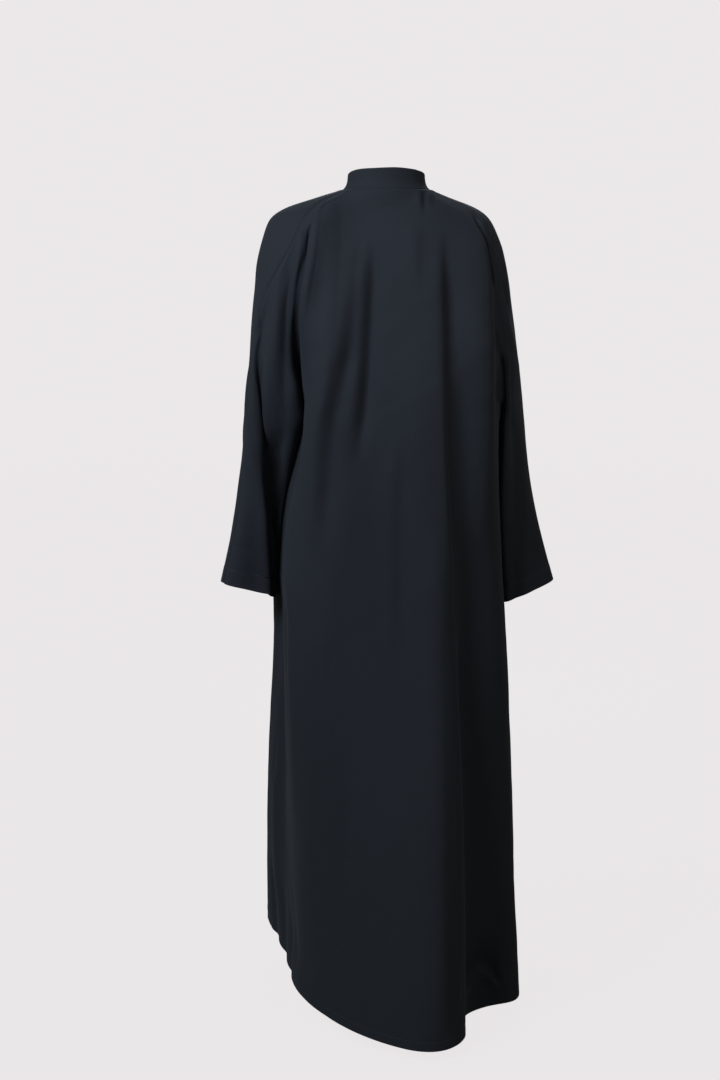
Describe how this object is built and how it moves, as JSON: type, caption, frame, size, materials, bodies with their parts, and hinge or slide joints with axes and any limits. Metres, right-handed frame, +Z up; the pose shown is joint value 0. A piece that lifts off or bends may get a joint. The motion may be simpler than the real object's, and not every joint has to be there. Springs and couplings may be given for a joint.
{
  "type": "abaya cloak",
  "caption": "Long open-front abaya cloak as worn, hollow, with a stand collar, wide sleeves cut in one with back and fronts, and a trailing back hem.",
  "frame": {"origin": "middle of the neck base, between the two shoulder points, where the wearer's neck and shoulders carry the cloak", "axes": "+Z up along the hanging cloth, +Y the way the wearer faces, through the open front, +X the wearer's right-hand side"},
  "size_m": [0.6054, 0.6688, 1.4961],
  "materials": {
    "crepe_back": "matte blue-black crepe with a faint sheen",
    "crepe_left_front": "matte blue-black crepe with a faint sheen",
    "crepe_right_front": "matte blue-black crepe with a faint sheen",
    "crepe_collar": "doubled blue-black crepe, pressed flat"
  },
  "bodies": {
    "root": {"back": "crepe_back", "front_left": "crepe_left_front", "front_right": "crepe_right_front", "collar": "crepe_collar"}
  },
  "joints": []
}
